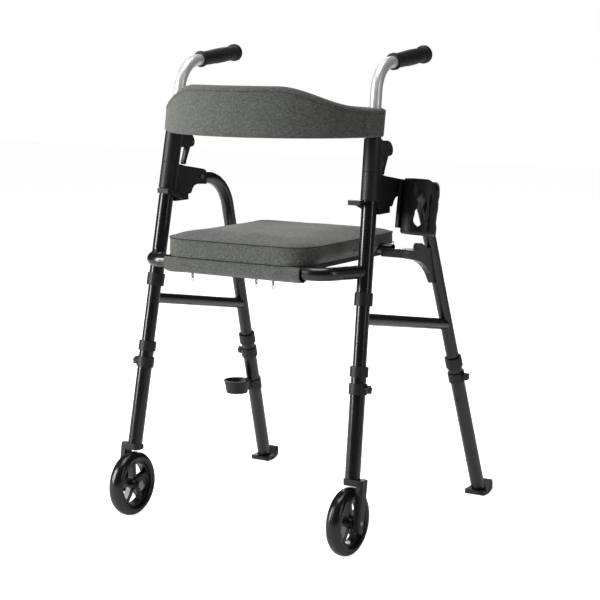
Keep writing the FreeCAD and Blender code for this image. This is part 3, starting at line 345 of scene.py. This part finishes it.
# ------------------------------------------------------------------ seat cushion
SEAT_LOW, SEAT_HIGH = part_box("seat_cushion")
SEAT_MID = (SEAT_LOW + SEAT_HIGH) / 2
SEAT_HALF = (SEAT_HIGH - SEAT_LOW) / 2 - Vector((0.002, 0.002, 0))
SEAM_Z = SEAT_HIGH.z - 0.0115
FRONT_CORNER = 0.058
REAR_CORNER = 0.028
SEAT_COLS, SEAT_ROWS, SEAT_LEVELS = 56, 58, 8
CROWN_HIGH = 0.0095
CROWN_WIDE = 0.040
TOP_SWELL = 0.0050
SIDE_SWELL = 0.0040
CREASE_DEEP = 0.0032
CREASE_WIDE = 0.028
CREASE_FROM = Vector((-0.13, 0.03, 0))
CREASE_TO = Vector((0.05, -0.055, 0))


def seat_plan(u, v, drop):
    """Plan point of the cushion for u, v in -1..1, pulled in near the bottom (drop 1)."""
    inset = 0.011 * ease(drop, 0.55, 1.0) * ease(v, -0.96, -0.55)
    ax, ay = SEAT_HALF.x - inset, SEAT_HALF.y - inset * 0.5
    x, y = abs(u) * ax, abs(v) * ay
    radius = FRONT_CORNER if v < 0 else REAR_CORNER
    ex, ey = (x - ax + radius) / radius, (y - ay + radius) / radius
    if ex > 0 and ey > 0:
        x = ax - radius + radius * ex * math.sqrt(1 - ey * ey / 2)
        y = ay - radius + radius * ey * math.sqrt(1 - ex * ex / 2)
    return SEAT_MID.x + math.copysign(x, u), SEAT_MID.y + math.copysign(y, v)


def seat_edge():
    """Grid parameters round the edge of the cushion, once round."""
    cols, rows = SEAT_COLS, SEAT_ROWS
    edge = [(-1 + 2 * i / cols, -1.0) for i in range(cols)]
    edge += [(1.0, -1 + 2 * j / rows) for j in range(rows)]
    edge += [(1 - 2 * i / cols, 1.0) for i in range(cols)]
    edge += [(-1.0, 1 - 2 * j / rows) for j in range(rows)]
    return edge


def seat_ring(drop, outward=0.0):
    """Points of one level of the boxing, drop 0 at the top seam and 1 at the bottom."""
    z = SEAM_Z + (SEAT_LOW.z - SEAM_Z) * drop
    found = []
    for u, v in seat_edge():
        x, y = seat_plan(u, v, drop)
        away = Vector((x - SEAT_MID.x, y - SEAT_MID.y, 0)).normalized() * outward
        found.append(Vector((x, y, z)) + away)
    return found


def build_cushion():
    """The padded cover: crowned top, boxing and flat bottom, with a sat-in crease and lumps."""
    cols, rows = SEAT_COLS, SEAT_ROWS
    verts, faces = [], []
    for top in (True, False):
        drop = 0.0 if top else 1.0
        z = SEAM_Z if top else SEAT_LOW.z
        first = len(verts)
        for j in range(rows + 1):
            for i in range(cols + 1):
                x, y = seat_plan(-1 + 2 * i / cols, -1 + 2 * j / rows, drop)
                verts.append((x, y, z))
        for j in range(rows):
            for i in range(cols):
                a = first + j * (cols + 1) + i
                faces.append((a, a + 1, a + cols + 2, a + cols + 1))
    first = len(verts)
    around = len(seat_edge())
    for level in range(SEAT_LEVELS + 1):
        verts += seat_ring(level / SEAT_LEVELS)
    for level in range(SEAT_LEVELS):
        for k in range(around):
            a, b = first + level * around + k, first + level * around + (k + 1) % around
            faces.append((a, b, b + around, a + around))
    obj = add_piece("seat_cover", verts, faces, FABRIC)
    spots = points_of(obj.data)
    ring = np.array([tuple(p) for p in seat_ring(0.0)])
    top = spots[:, 2] > SEAM_Z - 1e-5
    for i in np.nonzero(top)[0]:
        inward = math.sqrt(np.min(np.sum((ring[:, :2] - spots[i, :2]) ** 2, axis=1)))
        spots[i, 2] += CROWN_HIGH * (1 - (1 - min(inward / CROWN_WIDE, 1.0)) ** 2)
    obj.data.vertices.foreach_set("co", spots.ravel())
    obj.data.update()
    bottom = spots[:, 2] < SEAT_LOW.z + 1e-5
    near = np.array([np.min(np.sum((ring - p) ** 2, axis=1)) < 1e-9 for p in spots])
    most = np.where(top, TOP_SWELL, SIDE_SWELL)
    inflate(obj, near | bottom, most)
    spots = points_of(obj.data)
    for i in np.nonzero(top & ~near)[0]:
        p = Vector(spots[i])
        inner = min(1.0, max(0.0, (p.z - SEAM_Z) / 0.009))
        lumps = noise.noise(p * 9.0) * 0.0018 + noise.noise(p * 23.0) * 0.0007
        crease = CREASE_TO - CREASE_FROM
        here = Vector((p.x, p.y, 0)) - CREASE_FROM
        along = min(1.0, max(0.0, here.dot(crease) / crease.length_squared))
        away = (here - crease * along).length
        fade = math.sin(math.pi * (0.1 + 0.8 * along))
        valley = CREASE_DEEP * math.exp(-(away / CREASE_WIDE) ** 2) * fade
        spots[i, 2] += inner * (lumps - valley)
    for i in np.nonzero(~top & ~bottom & ~near)[0]:
        p = Vector(spots[i])
        out = Vector((p.x - SEAT_MID.x, p.y - SEAT_MID.y, 0)).normalized()
        ripple = noise.noise(Vector((p.x * 26, p.y * 26, p.z * 60))) * 0.0011
        spots[i] += np.array(out * ripple)
    obj.data.vertices.foreach_set("co", spots.ravel())
    subdivide(obj)
    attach(obj, "seat")
    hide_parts("seat_cushion")


build_cushion()


def seam_line(name, points, closed, body, radius=0.0008, material=SEAM_SHADE_AND_ZIP):
    """A fine bar along points, for a line of stitching, the painted shade of a seam groove, a zip or a
    cord.
    """
    verts, faces = ring_along(points, radius, 6, closed)
    add_piece(name, verts, faces, material, body)


# Painted shade along the top and bottom seams of the cushion.
seam_line("seat_seam_top", seat_ring(0.0, 0.0004), True, "seat")
seam_line("seat_seam_low", seat_ring(0.97, 0.0004), True, "seat")
ZIP_DROP = 0.56
ZIP_PROUD = 0.0032
zip_ring = seat_ring(ZIP_DROP, ZIP_PROUD)
zip_path = [p for p in zip_ring if p.y > SEAT_MID.y - 0.01]
zip_path.sort(key=lambda p: math.atan2(p.x - SEAT_MID.x, p.y - SEAT_MID.y + 0.05))
seam_line("seat_zip_line", zip_path, False, "seat", 0.0007)


# ------------------------------------------------------------------ band round the cross tube
TUBE_LOW, TUBE_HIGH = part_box("front_cross_tube")
SLEEVE_LOW, SLEEVE_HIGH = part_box("seat_sleeve")
TUBE_Z = (TUBE_LOW.z + TUBE_HIGH.z) / 2
SLEEVE_RAD = TUBE_Z - SLEEVE_LOW.z
SLEEVE_Y = SLEEVE_LOW.y + SLEEVE_RAD
BAND_COLS = 96
BAND_THICK = 0.0013
BAND_RIPPLE = 0.0007
HEM_TUCK = 0.0010
PULL_X = (-0.107, 0.037, 0.074)
PULL_STEPS = 14


def band_section():
    """Outline of the band in the YZ plane: down the front, then round under the tube."""
    outline = [(SEAT_LOW.y + 0.0022, SEAT_LOW.z + 0.0014)]
    outline.append((SEAT_LOW.y + 0.0006, SEAT_LOW.z - 0.004))
    for step in range(15):
        turn = math.radians(180 + 11.5 * step)
        outline.append((SLEEVE_Y + SLEEVE_RAD * math.cos(turn), TUBE_Z + SLEEVE_RAD * math.sin(turn)))
    return outline


def build_band():
    """The sewn sleeve: an outer and an inner layer, 1.3 mm apart, with a soft rippled hem."""
    section = band_section()
    cols = BAND_COLS
    verts, faces = [], []
    half = (SLEEVE_HIGH.x - SLEEVE_LOW.x) / 2 - 0.0005
    mid = (SLEEVE_HIGH.x + SLEEVE_LOW.x) / 2
    rows = len(section)
    for layer in (0.0, BAND_THICK):
        for i in range(cols + 1):
            u = -1 + 2 * i / cols
            for k, (y, z) in enumerate(section):
                x = mid + half * u
                depth = Vector((0, SLEEVE_Y - y, TUBE_Z - z)).normalized()
                wave = noise.noise(Vector((x * 30, k * 0.5, 3.0))) * BAND_RIPPLE
                hem = HEM_TUCK * math.exp(-((1 - abs(u)) / 0.03) ** 2)
                verts.append(Vector((x, y, z)) + depth * (layer - wave * (layer == 0.0) + hem))
    size = (cols + 1) * rows
    for layer in range(2):
        for i in range(cols):
            for k in range(rows - 1):
                a = layer * size + i * rows + k
                faces.append((a, a + 1, a + rows + 1, a + rows))
    for i in range(cols):
        for k in (0, rows - 1):
            a = i * rows + k
            faces.append((a, a + rows, a + rows + size, a + size))
    for k in range(rows - 1):
        for i in (0, cols):
            a = i * rows + k
            faces.append((a, a + 1, a + 1 + size, a + size))
    obj = add_piece("seat_band", verts, faces, FABRIC)
    subdivide(obj)
    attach(obj, "seat")
    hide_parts("seat_sleeve")


build_band()


def build_pull(number, x):
    """A cord loop under the band with a pale wire ring in it."""
    top = Vector((x, SLEEVE_Y + 0.002, TUBE_Z - SLEEVE_RAD + 0.001))
    loop = []
    ring = []
    for step in range(PULL_STEPS):
        turn = 2 * math.pi * step / PULL_STEPS
        loop.append(top + Vector((0.0016 * math.sin(turn), 0, -0.005 * (1 - math.cos(turn)))))
        ring.append(top + Vector((0, 0.0035 * math.sin(turn), -0.0125 + 0.0036 * math.cos(turn))))
    name = "seat_pull_" + str(number)
    seam_line(name + "_cord", loop, True, "seat", 0.0010, WEBBING)
    verts, faces = ring_along(ring, 0.0009, 8, True)
    add_piece(name + "_ring", verts, faces, POLISHED, "seat")


for number, x in enumerate(PULL_X):
    build_pull(number, x)


# ------------------------------------------------------------------ backrest
PAD_LOW, PAD_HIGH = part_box("backrest_pad")
LEAN = 0.1735
ARC_RAD = 0.2524
ARC_MID = Vector(((PAD_LOW.x + PAD_HIGH.x) / 2, -0.0261, 0.0))
BACK_HALF_THICK = 0.0065
BACK_LOW_Z = 0.759
BACK_SIDE_Z = 0.8095
BACK_TOP_Z = PAD_HIGH.z - 0.0015
POST_X, POST_Y = 0.2239, -0.1259
POST_WRAP = 0.0186
HUMP_HALF = 0.092
SLOPE_HALF = 0.232
INNER_STOP = 0.192
LAST_FREE = 0.19
END_SWELL = 0.0012
FACE_SWELL = 0.0030


def back_top(x):
    """Height of the band's top edge at distance x from the middle."""
    part = min(max((SLOPE_HALF - abs(x)) / (SLOPE_HALF - HUMP_HALF), 0.0), 1.0)
    rise = (1 - math.cos(math.pi * part)) / 2
    return BACK_SIDE_Z + (BACK_TOP_Z - BACK_SIDE_Z) * rise


def hull(points):
    """Convex outline of plan points, anticlockwise."""
    points = sorted(set(points))

    def half(run):
        chain = []
        for p in run:
            while len(chain) > 1:
                (ax, ay), (bx, by) = chain[-2:]
                if (bx - ax) * (p[1] - ay) - (by - ay) * (p[0] - ax) > 0:
                    break
                chain.pop()
            chain.append(p)
        return chain

    return half(points)[:-1] + half(points[::-1])[:-1]


def resample(points, count):
    """count + 1 points equally spaced along an open line."""
    line = np.array(points)
    steps = np.linalg.norm(np.diff(line, axis=0), axis=1)
    far = np.concatenate([[0], np.cumsum(steps)])
    want = np.linspace(0, far[-1], count + 1)
    return np.stack([np.interp(want, far, line[:, k]) for k in range(2)], axis=1)


def arc(radius, reach, steps=180):
    """Plan points of an arc about the band's centre, reach degrees to each side of the front."""
    found = []
    for k in range(steps + 1):
        turn = math.radians(-reach + 2 * reach * k / steps)
        found.append((radius * math.sin(turn), -radius * math.cos(turn)))
    return found


def back_lines(count):
    """Front and rear plan lines of the band, from the left end round to the right end."""
    front = arc(ARC_RAD + BACK_HALF_THICK, 66)
    posts = []
    for sign in (1, -1):
        for k in range(60):
            turn = 2 * math.pi * k / 60
            posts.append((sign * POST_X + POST_WRAP * math.cos(turn),
                          POST_Y - ARC_MID.y + POST_WRAP * math.sin(turn)))
    outline = hull([(round(x, 6), round(y, 6)) for x, y in front + posts])
    rear = max(y for x, y in outline)
    ends = [i for i, p in enumerate(outline) if p[1] > rear - 1e-5]
    left = min(ends, key=lambda i: outline[i][0])
    turned = outline[left:] + outline[:left]
    stop = max(i for i, p in enumerate(turned) if p[0] > 0 and p[1] > rear - 1e-5)
    outer = turned[: stop + 1]
    rear_arc = arc(ARC_RAD - BACK_HALF_THICK, 58)
    y0 = POST_Y - ARC_MID.y
    hook = []
    for k in range(13):
        turn = math.radians(90 + 100 * k / 12)
        hook.append((POST_X + POST_WRAP * math.cos(turn), y0 + POST_WRAP * math.sin(turn)))
    left_hook = [(-x, y) for x, y in hook]
    inner = left_hook + [p for p in rear_arc if abs(p[0]) < INNER_STOP] + hook[::-1]
    return resample(outer, count), resample(inner, count)


def build_backrest():
    """The padded band wrapped round both uprights; gives back its front plan line."""
    count, rows = 132, 12
    outer, inner = back_lines(count)
    verts, faces = [], []
    for line in (outer, inner):
        for x, y in line:
            top = back_top(x)
            for k in range(rows + 1):
                z = BACK_LOW_Z + (top - BACK_LOW_Z) * k / rows
                lean = (z - BACK_LOW_Z) * LEAN
                verts.append((ARC_MID.x + x, ARC_MID.y + y + lean, z))
    size = (count + 1) * (rows + 1)
    for layer in range(2):
        for i in range(count):
            for k in range(rows):
                a = layer * size + i * (rows + 1) + k
                faces.append((a, a + 1, a + rows + 2, a + rows + 1))
    middle = len(verts)
    for edge, lift in ((0, -0.0012), (rows, 0.0022)):
        for i in range(count + 1):
            a = Vector(verts[i * (rows + 1) + edge])
            b = Vector(verts[size + i * (rows + 1) + edge])
            verts.append((a + b) / 2 + Vector((0, 0, lift)))
    for number, edge in enumerate((0, rows)):
        for i in range(count):
            a, b = i * (rows + 1) + edge, (i + 1) * (rows + 1) + edge
            m = middle + number * (count + 1) + i
            faces.append((a, b, m + 1, m))
            faces.append((m, m + 1, size + b, size + a))
    obj = add_piece("backrest_band", verts, faces, FABRIC)
    spots = points_of(obj.data)
    level = np.array([
        (p[2] - BACK_LOW_Z) / (back_top(p[0] - ARC_MID.x) - BACK_LOW_Z) for p in spots
    ])
    reach = np.abs(spots[:, 0] - ARC_MID.x)
    edge = (np.abs(level) < 0.02) | (np.abs(level - 1) < 0.02)
    most = np.where(reach > LAST_FREE, END_SWELL, FACE_SWELL)
    inflate(obj, edge, most, 3.0)
    spots = points_of(obj.data)
    for i, p in enumerate(spots):
        q = Vector(p)
        pull = ease(reach[i], 0.13, 0.2) * 0.0008 + 0.0005
        ripple = noise.noise(Vector((q.x * 22, q.y * 22, q.z * 9))) * pull
        out = Vector((q.x - ARC_MID.x, q.y - ARC_MID.y, 0)).normalized()
        spots[i] += np.array(out * ripple * (0.0 if edge[i] else 1.0))
    obj.data.vertices.foreach_set("co", spots.ravel())
    subdivide(obj)
    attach(obj, "front_frame")
    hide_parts("backrest_pad")
    return outer


back_outer = build_backrest()


def on_front(index, z, proud):
    """Point of the band's front face at a plan index and height, moved out by proud."""
    x, y = back_outer[index]
    out = Vector((x, y, 0)).normalized() * proud
    return Vector((ARC_MID.x + x, ARC_MID.y + y + (z - BACK_LOW_Z) * LEAN, z)) + out


LAP_BELOW = 0.0085
LAP_RAD = 0.0004
lap = [on_front(i, back_top(back_outer[i][0]) - LAP_BELOW, 0.0017) for i in range(6, 127)]
seam_line("backrest_lap_seam", lap, False, "front_frame", LAP_RAD, LAP)
for side, index in (("right", 118), ("left", 14)):
    height = back_top(back_outer[index][0]) - BACK_LOW_Z - 0.002
    column = [on_front(index, BACK_LOW_Z + 0.001 + height * k / 14, 0.0008) for k in range(15)]
    seam_line("backrest_end_seam_" + side, column, False, "front_frame", LAP_RAD, LAP)


# ------------------------------------------------------------------ hand grips
GRIP_RISE = 0.104
GRIP_LONG = 0.1316
GRIP_SIDES = 48
# Share of the length and radius in millimetres.
GRIP_PROFILE = (
    (0.000, 11.2), (0.000, 14.8), (0.012, 16.2), (0.045, 16.3), (0.062, 14.4), (0.085, 13.9),
    (0.30, 14.3), (0.52, 15.3), (0.74, 14.6), (0.86, 13.9), (0.885, 14.2), (0.905, 16.9),
    (0.93, 17.5), (0.975, 17.4), (0.995, 16.2), (1.000, 13.0), (1.000, 6.0), (0.992, 0.0),
)


def build_grip(side):
    """Moulded rubber grip: a front rim, a barrelled body with slanting facets, an end flange."""
    low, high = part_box("grip_" + side)
    way = Vector((0, 1, GRIP_RISE)).normalized()
    across = Vector((1, 0, 0))
    up = across.cross(way)
    start = (low + high) / 2 - way * (GRIP_LONG / 2)
    stations = []
    for (s0, r0), (s1, r1) in zip(GRIP_PROFILE, GRIP_PROFILE[1:]):
        steps = max(1, round((s1 - s0) * GRIP_LONG / 0.0022))
        for k in range(steps):
            stations.append((s0 + (s1 - s0) * k / steps, r0 + (r1 - r0) * k / steps))
    stations.append(GRIP_PROFILE[-1])
    sides = GRIP_SIDES
    verts, faces = [], []
    for s, r in stations:
        body = ease(s, 0.07, 0.12) * ease(-s, -0.88, -0.83)
        for k in range(sides):
            turn = 2 * math.pi * k / sides
            slant = turn * 4 + s * 34.0
            facet = abs((slant / math.pi) % 2 - 1)
            rib = (0.55 - 1.3 * max(0.0, facet - 0.72) / 0.28) * body
            oval = 1.0 + 0.03 * body * math.cos(2 * turn)
            radius = (r + rib * 0.9) * oval / 1000
            spot = start + way * (s * GRIP_LONG)
            verts.append(spot + across * radius * math.cos(turn) + up * radius * math.sin(turn))
    for i in range(len(stations) - 1):
        for k in range(sides):
            a, b = i * sides + k, i * sides + (k + 1) % sides
            faces.append((a, b, b + sides, a + sides))
    obj = add_piece("hand_grip_" + side, verts, faces, RUBBER, "handle_" + side)
    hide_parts("grip_" + side)


for side in SIDES:
    build_grip(side)


# ------------------------------------------------------------------ camera, light, floor
camera = bpy.data.objects.new("camera", bpy.data.cameras.new("camera"))
bpy.context.scene.collection.objects.link(camera)
bpy.context.scene.camera = camera
camera.data.sensor_width = 36.0
camera.data.lens = 98.484
camera.data.clip_end = 50.0
camera.location = (1.6707, -2.7745, 0.9297)
camera.rotation_euler = [math.radians(a) for a in (81.0807, -0.3332, 31.3976)]


def area_light(name, place, aim, size, power):
    """A rectangular soft box at place, facing aim."""
    data = bpy.data.lights.new(name, "AREA")
    data.shape = "RECTANGLE"
    data.size, data.size_y = size
    data.energy = power
    lamp = bpy.data.objects.new(name, data)
    bpy.context.scene.collection.objects.link(lamp)
    lamp.location = place
    lamp.rotation_euler = (Vector(aim) - Vector(place)).to_track_quat("-Z", "Y").to_euler()


area_light("key", (-2.2, -2.3, 1.5), (0, 0, 0.55), (0.7, 2.2), 98)
area_light("fill", (3.0, -0.6, 1.5), (0, 0, 0.5), (0.5, 2.0), 9)
area_light("top", (-0.3, -0.2, 3.0), (0, 0, 0.5), (1.6, 1.6), 40)
area_light("rim", (-1.6, 2.6, 1.6), (0, 0, 0.6), (0.8, 1.8), 22)

world = bpy.data.worlds.new("studio")
bpy.context.scene.world = world
world.use_nodes = True
# The backdrop and the floor show white, but light the object only faintly.
sky = world.node_tree.nodes["Background"]
sky.inputs["Color"].default_value = (1.0, 1.0, 1.0, 1.0)
rays = world.node_tree.nodes.new("ShaderNodeLightPath")
level = world.node_tree.nodes.new("ShaderNodeMapRange")
level.inputs["To Min"].default_value = 0.05
level.inputs["To Max"].default_value = 1.0
world.node_tree.links.new(rays.outputs["Is Camera Ray"], level.inputs["Value"])
world.node_tree.links.new(level.outputs["Result"], sky.inputs["Strength"])

FLOOR = 9
floor_mesh = bpy.data.meshes.new("floor")
corners = [(-FLOOR, -FLOOR, 0), (FLOOR, -FLOOR, 0), (FLOOR, FLOOR, 0), (-FLOOR, FLOOR, 0)]
floor_mesh.from_pydata(corners, [], [(0, 1, 2, 3)])
floor = bpy.data.objects.new("floor", floor_mesh)
bpy.context.scene.collection.objects.link(floor)
pale = Shader("pale_floor", (0.93, 0.93, 0.93), 0.75)
pale.link(pale.range(pale.noise(3.0, 2.0), 0.7, 0.8), pale.bsdf.inputs["Roughness"])
pale.set("Emission Color", (1.0, 1.0, 1.0, 1.0))
seen = pale.node("ShaderNodeLightPath")
pale.link(pale.range(seen.outputs["Is Camera Ray"], 0.14, 0.93), pale.bsdf.inputs["Emission Strength"])
floor_mesh.materials.append(pale.mat)
bpy.context.scene.view_settings.view_transform = "Standard"
